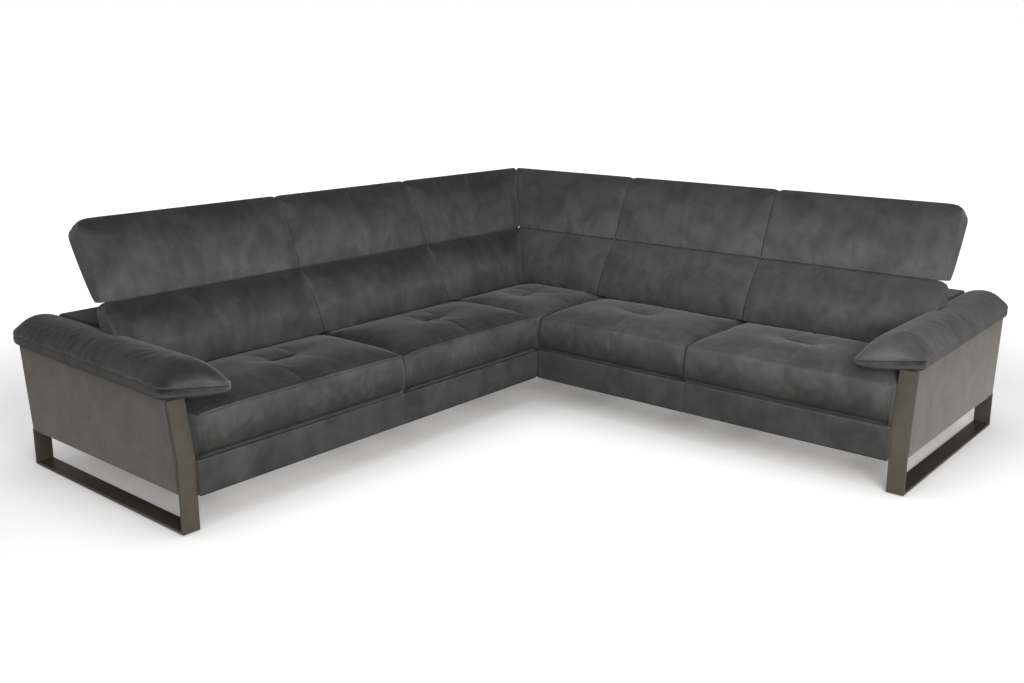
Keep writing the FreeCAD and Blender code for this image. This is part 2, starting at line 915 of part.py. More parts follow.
def headSection(y, bulge, drop, thin):
    lean = FreeCAD.Vector(-leanSin, 0, leanCos)
    out = FreeCAD.Vector(leanCos, 0, leanSin)
    tip = at(size["creaseDepth"] + 3 - thin * 0.3, size["crease"] + 8)
    thick = size["headThick"].value - thin
    crownMiddle = at(size["headTopDepth"], size["headTop"]) - lean * drop
    brow = crownMiddle - lean * 24 + out * (thick * 0.5)
    nape = crownMiddle - lean * 26 - out * (thick * 0.5)
    heel = at(size["creaseDepth"] - 47, size["crease"] + 24)
    front = chords(bowed(tip, brow, -bulge), 3)
    crown = chords(arc(brow, crownMiddle, nape), 4)
    rear = chords(bowed(nape, heel, -9), 2)
    return wireAt(y, [*front, *crown, *rear, line(heel, tip)])


def boardOutline(grow):
    half = boardHalf + grow
    thick = size["boardThick"].value / 2 + grow
    return [alongBoard(-half, -thick), alongBoard(half, -thick),
            alongBoard(half, thick), alongBoard(-half, thick)]


def armOutline(grow):
    rear = -size["boardThick"].value / 2 + grow * 0.5
    hinge = size["hingeDepth"].value
    low = size["hingeHeight"].value
    return [
        (hinge - 6 - grow * 0.5, low - hubRadius - grow),
        (hinge - 13 - grow, low),
        (hinge - 6 - grow, low + 74),
        alongBoard(-22 + grow, rear - flangeDeep - grow),
        alongBoard(-22 + grow, rear),
        alongBoard(-86, rear),
        (hinge + 19 + grow, low + 58),
        (hinge + 13 + grow, low),
        (hinge + 6 + grow * 0.5, low - hubRadius - grow),
    ]


def flangeOutline(grow):
    rear = -size["boardThick"].value / 2 + grow * 0.5
    return [
        alongBoard(-86 - grow, rear),
        alongBoard(-22 + grow, rear),
        alongBoard(-22 + grow, rear - flangeDeep - grow),
        alongBoard(-86 - grow, rear - flangeDeep - grow),
    ]


def armPlaces(start, end):
    # The two hinge arms of a headrest, at equal distances from its ends, each with the way
    # to the headrest's middle.
    a = float(length(start))
    b = float(length(end))
    return ((a + (b - a) * armInset, 1), (b - (b - a) * armInset, -1))


def headPad(wing, label, start, end, beside):
    a = float(length(start)) + headGap
    b = float(length(end)) - headGap
    bulge = size["headBulge"].value
    ends = [(0, bulge * 0.4, 30, 26), (16, bulge * 0.7, 9, 12), (80, bulge, 0, 0)]
    if beside:
        stations = [(a + inward, rise, drop, thin) for inward, rise, drop, thin in ends]
    else:
        stations = [(size["headTopDepth"].value - 120, bulge, 0, 0)]
    stations += [(b - inward, rise, drop, thin) for inward, rise, drop, thin in reversed(ends)]
    sections = [headSection(v * wing.mirror, rise, drop, thin)
                for v, rise, drop, thin in stations]
    shape = lofted(sections)
    if not beside:
        shape = mitred(shape, wing, 2)
    boardStart, boardEnd = boardSpan(start, end, beside)
    room = prism(boardOutline(slotRoom), wing, boardStart - slotRoom, boardEnd + slotRoom)
    half = size["armThick"].value / 2 + slotRoom
    wide = flangeWide / 2 + slotRoom
    for v, _ in armPlaces(boardStart, boardEnd):
        room = room.fuse(prism(armOutline(slotRoom), wing, v - half, v + half))
        room = room.fuse(prism(flangeOutline(slotRoom), wing, v - wide, v + wide))
    return soft(label, shape.cut(room), wing.turn)


def boardSpan(start, end, beside):
    a = float(length(start)) + boardInset
    if not beside:
        a = boardDepth + boardInset + boardHalf
    return a, float(length(end)) - boardInset


def headBoard(wing, label, start, end, beside):
    a, b = boardSpan(start, end, beside)
    body = newBody(label, wing.turn)
    acrossWing(body, wing, "Pad", a, b - a, boardOutline(0))
    return body


def hingeArms(wing, label, start, end, beside):
    # Flat arms with a flange under the board; each pin points to the headrest's middle.
    arms = []
    for v, inward in armPlaces(*boardSpan(start, end, beside)):
        body = document.addObject("PartDesign::Body", "hinge_arm")
        thick = size["armThick"]
        acrossWing(body, wing, "Pad", v - thick / 2, thick, armOutline(0))
        acrossWing(body, wing, "Pad", length(v - flangeWide / 2), flangeWide, flangeOutline(0))
        pinLong = thick + size["earThick"] + earGap
        pinStart = v - thick / 2 if inward > 0 else v + thick / 2 - pinLong
        pin = ((size["hingeDepth"], size["hingeHeight"]), size["pinRadius"])
        acrossWing(body, wing, "Pad", pinStart, pinLong, [], [pin])
        arms.append(body)
    group(label, arms, wing.turn)


def hingeBracket(wing, v, inward):
    # A foot plate with one ear inside the arm, so that a pair of arms can't slide off.
    body = document.addObject("PartDesign::Body", "hinge_bracket")
    hinge = size["hingeDepth"]
    height = size["hingeHeight"]
    low = size["backTop"]
    thick = size["earThick"]
    gap = size["armThick"] / 2 + earGap
    earStart = v + gap if inward > 0 else v - gap - thick
    footStart = earStart + thick / 2 - bracketFoot / 2
    acrossWing(body, wing, "Pad", footStart, length(bracketFoot), [
        (hinge - 44, low),
        (hinge - 44, low + thick),
        (hinge - 6, low + thick),
        (hinge - 6, low),
    ])
    acrossWing(body, wing, "Pad", earStart, thick, [
        (hinge - 40, low + thick),
        (hinge - hubRadius, height),
        (hinge - hubBevel, height + hubRadius),
        (hinge + hubBevel, height + hubRadius),
        (hinge + hubRadius, height),
        (hinge - 7, low + thick),
    ])
    bore = ((hinge, height), size["pinRadius"] + size["pinClearance"])
    acrossWing(body, wing, "Pocket", earStart - 1, thick + 2, [], [bore])
    return body


# The whole sofa

backSpans = {}
for wing in wings:
    outerEnd = wing.reach - size["backCushionInset"]
    backSpans[wing.name] = (
        (wing.name + "_%s_1", wing.split, outerEnd, True),
        (wing.name + "_%s_2", wing.cornerSplit, wing.split, True),
        (wing.name + "_%s_3", size["backShelfFront"], wing.cornerSplit, False),
    )

floorGlides()
legBolts()
for wing in wings:
    sledLeg(wing)
    armPanel(wing)
    armPad(wing)
    baseFrame(wing)
    frontRail(wing)
    webbing(wing)
    backCover(wing)
    backFrame(wing)
    seatEnd = wing.reach - size["barWidth"] - 1
    tuftShift = 70 if wing is left else 35
    seatCushion(wing, wing.name + "_seat_cushion_1", wing.split, seatEnd,
                (wing.split.value + seatEnd.value) / 2 - tuftShift)
    seatCushion(wing, wing.name + "_seat_cushion_2", size["unitSplit"], wing.split,
                (size["unitSplit"].value + wing.split.value) / 2)
    brackets = []
    for name, start, end, beside in backSpans[wing.name]:
        notched = end is backSpans[wing.name][0][2]
        backCushion(wing, name % "back_cushion", start, end, beside, notched)
        headPad(wing, name % "headrest", start, end, beside)
        headBoard(wing, name % "headrest_board", start, end, beside)
        hingeArms(wing, name % "headrest_arms", start, end, beside)
        for v, inward in armPlaces(*boardSpan(start, end, beside)):
            brackets.append(hingeBracket(wing, length(v), inward))
    group(wing.name + "_hinge_brackets", brackets, wing.turn)

cornerFrame()
cornerWebbing()
cornerBackCover()
cornerBackFrame()
cornerSeat()
supportFeet()

document.recompute()

failed = [item for item in document.Objects if "Invalid" in item.State or "Error" in item.State]
if failed:
    raise RuntimeError("failed: " + ", ".join(
        item.Name + " in " + ", ".join(user.Label for user in item.InList) for item in failed))

os.makedirs("parts", exist_ok=True)
for item in nodes:
    shape = item.Shape
    if shape.isNull() or not shape.isValid():
        raise RuntimeError(item.Label + " has no valid shape")
for item in nodes:
    item.Shape.exportStep("parts/%s.step" % item.Label)
print(len(nodes), "nodes written")
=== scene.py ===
import json
import math

import bmesh
import bpy
from mathutils import Matrix, Vector, noise


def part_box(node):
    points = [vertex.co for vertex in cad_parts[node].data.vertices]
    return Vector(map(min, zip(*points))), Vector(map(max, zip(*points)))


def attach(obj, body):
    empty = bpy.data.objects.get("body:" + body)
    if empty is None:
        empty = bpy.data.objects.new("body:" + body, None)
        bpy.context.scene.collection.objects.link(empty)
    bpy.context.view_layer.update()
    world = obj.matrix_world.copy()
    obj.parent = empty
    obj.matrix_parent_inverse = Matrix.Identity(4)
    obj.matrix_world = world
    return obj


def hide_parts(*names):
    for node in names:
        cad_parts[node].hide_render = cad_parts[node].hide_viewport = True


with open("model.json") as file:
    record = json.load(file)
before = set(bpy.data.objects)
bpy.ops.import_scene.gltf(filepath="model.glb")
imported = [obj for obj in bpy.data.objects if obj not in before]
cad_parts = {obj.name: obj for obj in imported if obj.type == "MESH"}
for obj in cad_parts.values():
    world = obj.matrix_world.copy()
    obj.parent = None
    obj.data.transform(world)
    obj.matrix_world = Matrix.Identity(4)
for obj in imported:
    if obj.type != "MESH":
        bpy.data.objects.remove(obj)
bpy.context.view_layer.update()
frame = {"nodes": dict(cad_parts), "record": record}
scene = bpy.context.scene
print("frame loaded")

# Both wings share one way of measuring: u is the depth from the back towards the seat's front
# edge, v runs along the wing from the corner, z is up.
seatRear = 0.392
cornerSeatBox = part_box("corner_seat_cushion")
cornerX = cornerSeatBox[0].x - seatRear
cornerY = cornerSeatBox[1].y + seatRear
wingMatrix = {
    "left": Matrix(((1, 0, 0, cornerX), (0, -1, 0, cornerY), (0, 0, 1, 0), (0, 0, 0, 1))),
    "right": Matrix(((0, 1, 0, cornerX), (-1, 0, 0, cornerY), (0, 0, 1, 0), (0, 0, 0, 1))),
}
wings = ("left", "right")


def wingBox(node, wing):
    # A CAD node's lowest and highest corner as u, v and z of a wing.
    back = wingMatrix[wing].inverted()
    ends = [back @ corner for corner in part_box(node)]
    low = Vector([min(a, b) for a, b in zip(*ends)])
    high = Vector([max(a, b) for a, b in zip(*ends)])
    return low, high


# Materials

def newMaterial(name):
    material = bpy.data.materials.new(name)
    material.use_nodes = True
    return material, material.node_tree.nodes, material.node_tree.links


def noiseAt(nodes, links, source, scale, detail, roughness, distortion=0.0):
    texture = nodes.new("ShaderNodeTexNoise")
    texture.inputs["Scale"].default_value = scale
    texture.inputs["Detail"].default_value = detail
    texture.inputs["Roughness"].default_value = roughness
    texture.inputs["Distortion"].default_value = distortion
    links.new(source, texture.inputs["Vector"])
    return texture.outputs["Fac"]


def ranged(nodes, links, source, fromLow, fromHigh, toLow, toHigh):
    node = nodes.new("ShaderNodeMapRange")
    values = (fromLow, fromHigh, toLow, toHigh)
    for name, value in zip(("From Min", "From Max", "To Min", "To Max"), values):
        node.inputs[name].default_value = value
    links.new(source, node.inputs["Value"])
    return node.outputs["Result"]


def velvet(name, look):
    # Short pile that lies this way and that: brushed patches, streaks, sheen and a fine grain.
    material, nodes, links = newMaterial(name)
    shader = nodes["Principled BSDF"]
    where = nodes.new("ShaderNodeTexCoord").outputs["Object"]
    streakMap = nodes.new("ShaderNodeMapping")
    streakMap.inputs["Scale"].default_value = look["streak"]
    links.new(where, streakMap.inputs["Vector"])
    patches = noiseAt(nodes, links, where, look["patchScale"], 5, 0.55, 0.6)
    streaks = noiseAt(nodes, links, streakMap.outputs["Vector"], look["streakScale"], 6, 0.6, 0.3)
    patches = ranged(nodes, links, patches, 0.36, 0.66, 0, 1)
    streaks = ranged(nodes, links, streaks, 0.42, 0.62, 0, 1)
    both = nodes.new("ShaderNodeMath")
    both.operation = "MULTIPLY_ADD"
    links.new(streaks, both.inputs[0])
    both.inputs[1].default_value = 0.35
    links.new(patches, both.inputs[2])
    shade = nodes.new("ShaderNodeValToRGB")
    shade.color_ramp.interpolation = "B_SPLINE"
    shade.color_ramp.elements[0].color = (*look["dark"], 1)
    shade.color_ramp.elements[1].color = (*look["light"], 1)
    links.new(ranged(nodes, links, both.outputs[0], 0, 1.35, 0, 1), shade.inputs["Fac"])
    grain = noiseAt(nodes, links, where, 1400, 2, 0.5)
    fine = nodes.new("ShaderNodeMix")
    fine.data_type = "RGBA"
    fine.blend_type = "MULTIPLY"
    fine.inputs["Factor"].default_value = 1
    tone = nodes.new("ShaderNodeCombineColor")
    level = ranged(nodes, links, grain, 0.3, 0.7, 0.82, 1.12)
    for channel in ("Red", "Green", "Blue"):
        links.new(level, tone.inputs[channel])
    links.new(shade.outputs["Color"], fine.inputs[6])
    links.new(tone.outputs["Color"], fine.inputs[7])
    # Painted light and shade by facing: each look lists how much lighter or darker a face is
    # painted for how far it turns up or down. Leaning, upright and level faces differ in tone as
    # the light falls on them, and faces turned down are painted much darker, a painted shade
    # under edges and in the gaps.
    upward = nodes.new("ShaderNodeSeparateXYZ")
    links.new(nodes.new("ShaderNodeTexCoord").outputs["Normal"], upward.inputs[0])
    facingShade = nodes.new("ShaderNodeValToRGB")
    for place in (0.3, 0.6):
        facingShade.color_ramp.elements.new(place)
    for element, (place, tone) in zip(facingShade.color_ramp.elements, look["facingShade"]):
        element.position = (place + 1) / 2
        element.color = (tone / 2, tone / 2, tone / 2, 1)
    links.new(ranged(nodes, links, upward.outputs["Z"], -1, 1, 0, 1), facingShade.inputs["Fac"])
    facingShaded = nodes.new("ShaderNodeMix")
    facingShaded.data_type = "RGBA"
    facingShaded.blend_type = "MULTIPLY"
    facingShaded.inputs["Factor"].default_value = 1
    links.new(fine.outputs[2], facingShaded.inputs[6])
    links.new(facingShade.outputs["Color"], facingShaded.inputs[7])
    doubled = nodes.new("ShaderNodeVectorMath")
    doubled.operation = "SCALE"
    doubled.inputs["Scale"].default_value = 2
    links.new(facingShaded.outputs[2], doubled.inputs[0])
    links.new(doubled.outputs[0], shader.inputs["Base Color"])
    links.new(ranged(nodes, links, patches, 0, 1, 0.95, 0.78), shader.inputs["Roughness"])
    shader.inputs["Specular IOR Level"].default_value = 0.25
    shader.inputs["Sheen Weight"].default_value = look["sheen"]
    shader.inputs["Sheen Roughness"].default_value = look["sheenRoughness"]
    shader.inputs["Sheen Tint"].default_value = (*look["sheenTint"], 1)
    bump = nodes.new("ShaderNodeBump")
    bump.inputs["Strength"].default_value = look["bump"]
    bump.inputs["Distance"].default_value = 0.0006
    links.new(noiseAt(nodes, links, where, 900, 3, 0.6), bump.inputs["Height"])
    soft = nodes.new("ShaderNodeBump")
    soft.inputs["Strength"].default_value = look["ripple"]
    soft.inputs["Distance"].default_value = 0.004
    links.new(noiseAt(nodes, links, where, 26, 3, 0.5, 0.4), soft.inputs["Height"])
    links.new(soft.outputs["Normal"], bump.inputs["Normal"])
    links.new(bump.outputs["Normal"], shader.inputs["Normal"])
    return material


# The last list in each look is painted light and shade by facing: pairs of a face's upward normal
# and how much lighter or darker it is painted.
velvetLook = dict(dark=(0.028, 0.028, 0.028), light=(0.073, 0.073, 0.073), streak=(1, 1, 0.25),
                  streakScale=16, patchScale=6.5, sheen=0.24, sheenRoughness=0.42,
                  sheenTint=(0.9, 0.9, 0.92), bump=0.5, ripple=0.16,
                  facingShade=((-0.25, 0.15), (0.05, 1.05), (0.38, 1.45), (0.75, 0.44)))
charcoalVelvet = velvet("charcoal_velvet", velvetLook)
# Lit and shaded copies of one velvet: the right wing and the corner seat are painted lighter than
# the left, and the headrests get their own painted light and shade by facing.
rightLitLook = dict(velvetLook, dark=(0.034, 0.034, 0.034), light=(0.080, 0.080, 0.080),
                 facingShade=((-0.25, 0.15), (0.05, 0.86), (0.38, 1.35), (0.75, 1.12)))
leftHeadLook = dict(velvetLook, facingShade=((-0.3, 0.6), (0.12, 1.7), (0.45, 1.0), (0.75, 0.42)))
rightHeadLook = dict(rightLitLook, facingShade=((-0.3, 0.6), (0.12, 1.65), (0.45, 1.15), (0.75, 0.78)))
seatVelvet = {"left": charcoalVelvet, "right": velvet("charcoal_velvet_right_lit", rightLitLook)}
headVelvet = {"left": velvet("charcoal_velvet_left_head", leftHeadLook),
              "right": velvet("charcoal_velvet_right_head", rightHeadLook)}
sideLook = dict(velvetLook, dark=(0.044, 0.040, 0.036), light=(0.082, 0.076, 0.07), patchScale=9,
                sheenTint=(1.0, 0.95, 0.9), sheen=0.5,
                facingShade=((-0.9, 1), (0, 1), (0.4, 1), (0.8, 0.9)))
sideVelvet = velvet("charcoal_velvet_side", sideLook)


def plainFinish(name, look):
    # Paint, plastic, felt or wood with a little unevenness in colour and gloss.
    material, nodes, links = newMaterial(name)
    shader = nodes["Principled BSDF"]
    where = nodes.new("ShaderNodeTexCoord").outputs["Object"]
    mapping = nodes.new("ShaderNodeMapping")
    mapping.inputs["Scale"].default_value = look.get("stretch", (1, 1, 1))
    links.new(where, mapping.inputs["Vector"])
    cloudy = noiseAt(nodes, links, mapping.outputs["Vector"], look["scale"], 5, 0.6)
    ramp = nodes.new("ShaderNodeValToRGB")
    ramp.color_ramp.elements[0].position = 0.35
    ramp.color_ramp.elements[1].position = 0.65
    ramp.color_ramp.elements[0].color = (*look["dark"], 1)
    ramp.color_ramp.elements[1].color = (*look["light"], 1)
    links.new(cloudy, ramp.inputs["Fac"])
    links.new(ramp.outputs["Color"], shader.inputs["Base Color"])
    shader.inputs["Metallic"].default_value = look["metallic"]
    low, high = look["roughness"]
    links.new(ranged(nodes, links, cloudy, 0.3, 0.7, low, high), shader.inputs["Roughness"])
    bump = nodes.new("ShaderNodeBump")
    bump.inputs["Strength"].default_value = look["bump"]
    bump.inputs["Distance"].default_value = 0.0004
    links.new(noiseAt(nodes, links, mapping.outputs["Vector"], look["grain"], 3, 0.6),
              bump.inputs["Height"])
    links.new(bump.outputs["Normal"], shader.inputs["Normal"])
    return material


bronzeSteel = plainFinish("bronze_steel", dict(
    dark=(0.085, 0.073, 0.058), light=(0.105, 0.09, 0.072), scale=7, metallic=0.55,
    roughness=(0.36, 0.46), bump=0.15, grain=1200))
blackSteel = plainFinish("black_steel", dict(
    dark=(0.012, 0.012, 0.013), light=(0.022, 0.022, 0.023), scale=30, metallic=0.3,
    roughness=(0.4, 0.55), bump=0.2, grain=900))
zincSteel = plainFinish("zinc_steel", dict(
    dark=(0.42, 0.43, 0.44), light=(0.56, 0.56, 0.55), scale=60, metallic=1,
    roughness=(0.3, 0.45), bump=0.15, grain=1500))
timberFinish = plainFinish("timber", dict(
    dark=(0.36, 0.24, 0.13), light=(0.56, 0.41, 0.25), scale=40, metallic=0,
    roughness=(0.6, 0.75), bump=0.4, grain=300, stretch=(1, 1, 0.12)))
webbingFinish = plainFinish("webbing", dict(
    dark=(0.03, 0.03, 0.03), light=(0.07, 0.065, 0.06), scale=220, metallic=0,
    roughness=(0.85, 0.95), bump=0.8, grain=700))
plasticFinish = plainFinish("black_plastic", dict(
    dark=(0.012, 0.012, 0.012), light=(0.02, 0.02, 0.02), scale=40, metallic=0,
    roughness=(0.5, 0.62), bump=0.3, grain=1000))
feltFinish = plainFinish("felt", dict(
    dark=(0.03, 0.028, 0.026), light=(0.07, 0.066, 0.062), scale=300, metallic=0,
    roughness=(0.95, 1.0), bump=1.0, grain=1100))
print("materials ready")


# Padding: blocks with rounded edges, shaped in a wing's own u, v and z, eased as cloth and
# stitched. A seam lies where two of the block's three measures are fixed.

stitchHalf = 0.0035
onEdge = 0.002  # a place this close to a side counts as lying on it
rowStep = 0.014
covers = []


def rowsAlong(length, radius, marks):
    # Places of a block's rows along one side: close by the rounded edges and the seams.
    fixed = [0, radius * 0.35, radius, length - radius, length - radius * 0.35, length]
    for mark in marks:
        fixed += [mark - stitchHalf, mark, mark + stitchHalf]
    rows = [0]
    for place in sorted(fixed):
        start = rows[-1]
        if place - start < 0.0012:
            continue
        count = max(1, round((place - start) / rowStep))
        rows += [start + (place - start) * i / count for i in range(1, count + 1)]
    return rows


def blockWith(rows):
    form = bmesh.new()
    bmesh.ops.create_cube(form, size=1, matrix=Matrix.Translation((0.5, 0.5, 0.5)))
    for axis, places in enumerate(rows):
        along = [edge for edge in form.edges
                 if abs(edge.verts[0].co[axis] - edge.verts[1].co[axis]) > 1e-6]
        bmesh.ops.subdivide_edges(form, edges=along, cuts=len(places) - 2, use_grid_fill=True)
    for vert in form.verts:
        vert.co = [places[round(t * (len(places) - 1))] for t, places in zip(vert.co, rows)]
    return form


def clamped(t, low=0.0, high=1.0):
    return min(max(t, low), high)


def smoothStep(t):
    t = clamped(t)
    return t * t * (3 - 2 * t)


def hump(t, power=2.0):
    # 0 at both ends and 1 in the middle.
    return 1 - abs(2 * clamped(t) - 1) ** power


def fullness(t, depth):
    # A quarter ellipse: 0 at the edge and 1 once t is deeper in than depth.
    return math.sqrt(1 - (1 - clamped(t / depth)) ** 2)


def edgeRounded(spot, size, radius):
    core = Vector([clamped(t, radius, length - radius) for t, length in zip(spot, size)])
    return core + (spot - core).normalized() * radius


def cornerRounded(spot, size, axes, highs, radius):
    # Bends the square corner between two sides into a quarter circle.
    deep = []
    for axis, high in zip(axes, highs):
        edge = size[axis] if high else 0
        deep.append((spot[axis] - edge) * (1 if high else -1) + radius)
    if min(deep) <= 0:
        return
    share = max(deep) / math.hypot(*deep)
    for axis, high, depth in zip(axes, highs, deep):
        edge = size[axis] if high else 0
        spot[axis] = edge + (1 if high else -1) * (depth * share - radius)


def addCover(name, wing, body, size, radius, seams, shape, held, fill, material,
             softEnds=(True, True)):
    # held gives, from a place on the block, how firmly the cloth is held there.
    rows = []
    for axis, length in enumerate(size):
        marks = [seam["fixed"][axis] for seam in seams if axis in seam["fixed"]]
        marks = [mark for mark in marks if onEdge < mark < length - onEdge]
        rows.append(rowsAlong(length, radius, marks))
    form = blockWith(rows)
    places = [vert.co.copy() for vert in form.verts]
    for vert, place in zip(form.verts, places):
        vert.co = shape(edgeRounded(place, size, radius))
    # Where an end stands free, the corners of three sides are softer than the edges.
    for depth in (0.03, 0.06):
        corners = [vert for vert, place in zip(form.verts, places)
                   if all(min(t, length - t) < depth for t, length in zip(place, size))
                   and place.z > size.z / 2 and softEnds[place.y > size.y / 2]]
        for _ in range(3):
            bmesh.ops.smooth_vert(form, verts=corners, factor=0.5, use_axis_x=True,
                                  use_axis_y=True, use_axis_z=True)
    covers.append(dict(name=name, wing=wing, body=body, form=form, places=places, seams=seams,
                       fill=fill, material=material, held=[held(place) for place in places]))


def seamReach(seam, place):
    # Distance of a place from the seam, and how far along the seam it is, 0 to 1.
    away = math.hypot(*[place[axis] - at for axis, at in seam["fixed"].items()])
    run = ({0, 1, 2} - set(seam["fixed"])).pop()
    low, high = seam["span"]
    along = (place[run] - low) / (high - low)
    past = max(low - place[run], place[run] - high, 0)
    return math.hypot(away, past), along, place[run]


def easeCovers(look):
    # Each cover is a cloth for a few moments: without weight, blown up a little, and held as
    # firmly as its own held says.
    cloths = []
    for cover in covers:
        mesh = bpy.data.meshes.new("cloth")
        cover["form"].to_mesh(mesh)
        cloth = bpy.data.objects.new("cloth", mesh)
        scene.collection.objects.link(cloth)
        group = cloth.vertex_groups.new(name="held")
        for index, weight in enumerate(cover["held"]):
            if weight > 0:
                group.add([index], weight, "REPLACE")
        modifier = cloth.modifiers.new("cloth", "CLOTH")
        settings = modifier.settings
        settings.quality = look["quality"]
        settings.mass = look["mass"]
        settings.tension_stiffness = look["tension"]
        settings.compression_stiffness = look["tension"]
        settings.bending_stiffness = look["bending"]
        settings.use_pressure = True
        settings.uniform_pressure_force = look["pressure"]
        settings.shrink_min = look["shrink"]
        settings.vertex_group_mass = "held"
        settings.effector_weights.gravity = 0
        modifier.point_cache.frame_start = 1
        modifier.point_cache.frame_end = look["moments"]
        modifier.collision_settings.use_collision = False
        cloths.append(cloth)
    for moment in range(1, look["moments"] + 1):
        scene.frame_set(moment)
    graph = bpy.context.evaluated_depsgraph_get()
    for cover, cloth in zip(covers, cloths):
        eased = cloth.evaluated_get(graph).to_mesh()
        for vert, moved in zip(cover["form"].verts, eased.vertices):
            shift = moved.co - vert.co
            vert.co += shift * min(1, look["most"] / max(shift.length, 1e-6))
        cloth.evaluated_get(graph).to_mesh_clear()
        mesh = cloth.data
        bpy.data.objects.remove(cloth)
        bpy.data.meshes.remove(mesh)
    scene.frame_set(1)


def stitchCover(cover):
    # Draws the seams in, and lets short creases run away from them.
    form = cover["form"]
    form.normal_update()
    depth = []
    for place in cover["places"]:
        sunk = 0
        for seam in cover["seams"]:
            away, along, run = seamReach(seam, place)
            if away < 1e-4:
                sunk += seam["deep"]
            pucker = seam.get("pucker", 0)
            if pucker and away < 0.09:
                grain = noise.noise((run * seam["grain"], away * 6, seam["seed"]))
                ridge = (1 - abs(grain) * 2.2) * math.exp(-away / seam["fall"])
                sunk += pucker * max(ridge, 0) * (1 - math.exp(-away / 0.004))
        depth.append(sunk)
    for vert, sunk in zip(form.verts, depth):
        vert.co -= vert.normal * sunk


def finishCover(cover):
    form = cover["form"]
    form.transform(wingMatrix[cover["wing"]])
    bmesh.ops.recalc_face_normals(form, faces=form.faces[:])
    mesh = bpy.data.meshes.new(cover["name"] + "_cover")
    form.to_mesh(mesh)
    form.free()
    for face in mesh.polygons:
        face.use_smooth = True
    mesh.materials.append(cover["material"])
    piece = bpy.data.objects.new(cover["name"] + "_cover", mesh)
    scene.collection.objects.link(piece)
    smooth = piece.modifiers.new("smooth", "SUBSURF")
    smooth.levels = 1
    smooth.render_levels = 1
    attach(piece, cover["body"])
    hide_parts(cover["name"])


# Seat cushions

seatLook = dict(radius=0.014, seam=0.434, crown=0.031, tuckFront=0.515, tuftDepth=0.745,
                tuftHalf=0.066, cornerRadius=0.034, frontRadius=0.026, innerRadius=0.006,
                undersideRadius=0.024, leanBack=0.016, tuckIn=0.007, dent=0.011, dentSpread=0.034)
tuftShift = {("left", 1): 0.070, ("right", 1): 0.035}


class Tuft:
    def __init__(self, x, y, half):
        self.x = x
        self.y = y
        self.half = half


def tuftDent(spot, tuft, look):
    # The cloth falls towards the sewn line all round.
    past = max(abs(spot.y - tuft.y) - tuft.half * 0.55, 0)
    away = math.hypot(past * 0.8, (spot.x - tuft.x) * 1.25)
    return look["dent"] * math.exp(-(away / look["dentSpread"]) ** 0.9)


def seatCover(wing, name, index):
    look = seatLook
    corner = index == 0
    low, high = wingBox(name, wing)
    size = Vector((high.x - low.x, high.y - low.y, look["seam"] - low.z))
    middle = (low.y + high.y) / 2 - tuftShift.get((wing, index), 0)
    tuft = Tuft(look["tuftDepth"], middle, look["tuftHalf"])
    if corner:
        tuft = Tuft((look["tuckFront"] + high.x) / 2 - 0.02, (look["tuckFront"] + high.y) / 2,
                    look["tuftHalf"])
    backEnd = look["tuckFront"] if corner else low.y
    innerFront = look["innerRadius"] if index == 2 else look["frontRadius"]

    def shape(spot):
        cornerRounded(spot, size, (1, 2), (True, True), look["cornerRadius"])
        if not corner:
            cornerRounded(spot, size, (1, 2), (False, True), look["cornerRadius"])
            cornerRounded(spot, size, (0, 1), (True, True), look["frontRadius"])
            cornerRounded(spot, size, (0, 1), (True, False), innerFront)
            cornerRounded(spot, size, (0, 2), (True, False), look["undersideRadius"])
        upper = spot.z / size.z
        front = smoothStep((spot.x / size.x - 0.7) / 0.3)
        spot += low
        if not corner:
            # The front leans back above its fullest line and tucks in a little below it.
            spot.x -= front * (look["leanBack"] * max(upper - 0.45, 0) ** 1.6 / 0.38
                               + look["tuckIn"] * max(0.35 - upper, 0) / 0.35)
        forward = (spot.x - look["tuckFront"]) / (high.x - look["tuckFront"])
        sideways = (spot.y - backEnd) / (high.y - backEnd)
        if forward > 0 and sideways > 0:
            crown = smoothStep(upper * 2 - 1) * look["crown"]
            spot.z += crown * hump(forward, 3) * hump(sideways, 4)
        if upper > 0.7:
            spot.z -= tuftDent(spot, tuft, look)
        return spot

    def held(place):
        if place.z < size.z * 0.35 or place.x < look["tuckFront"] - low.x:
            return 1
        if min(place.y, size.y - place.y) < onEdge and not corner:
            return 0.9
        if corner and (place.x > size.x - onEdge or place.y > size.y - onEdge):
            return 1
        pastTuft = max(abs(place.y + low.y - tuft.y) - tuft.half, 0)
        if math.hypot(place.x + low.x - tuft.x, pastTuft) < 0.004:
            return 1
        return 0.75 if abs(place.z - size.z + 0.012) < 0.006 and place.x > size.x - 0.01 else 0

    top = size.z - 0.010
    seams = [dict(fixed={0: tuft.x - low.x, 2: size.z}, deep=0.006, pucker=0.0022, fall=0.040,
                  grain=26, seed=index + 0.4,
                  span=(tuft.y - low.y - tuft.half, tuft.y - low.y + tuft.half))]
    if not corner:
        seams += [
            dict(fixed={0: size.x, 2: top}, deep=0.0036, pucker=0.0016, fall=0.022, grain=34,
                 seed=index + 2.2, span=(0.012, size.y - 0.012)),
            dict(fixed={0: size.x - 0.016, 2: size.z}, deep=0.0014, span=(0.02, size.y - 0.02)),
        ]
        for side in ([size.y - 0.022] if index == 1 else []) + [size.y * 0.52]:
            seams.append(dict(fixed={0: size.x, 1: side}, deep=0.0016, span=(0.02, top)))
    addCover(name, wing, "sofa", size, look["radius"], seams, shape, held, 0.8,
             seatVelvet["right" if corner else wing])


for wing in wings:
    for index in (1, 2):
        seatCover(wing, "%s_seat_cushion_%d" % (wing, index), index)
seatCover("left", "corner_seat_cushion", 0)
print("seat cushions shaped")

# Lower back cushions and headrests. In the block x is the thickness, y runs along and z goes
# up the lean. The ones at the corner end along the diagonal, where v equals u.

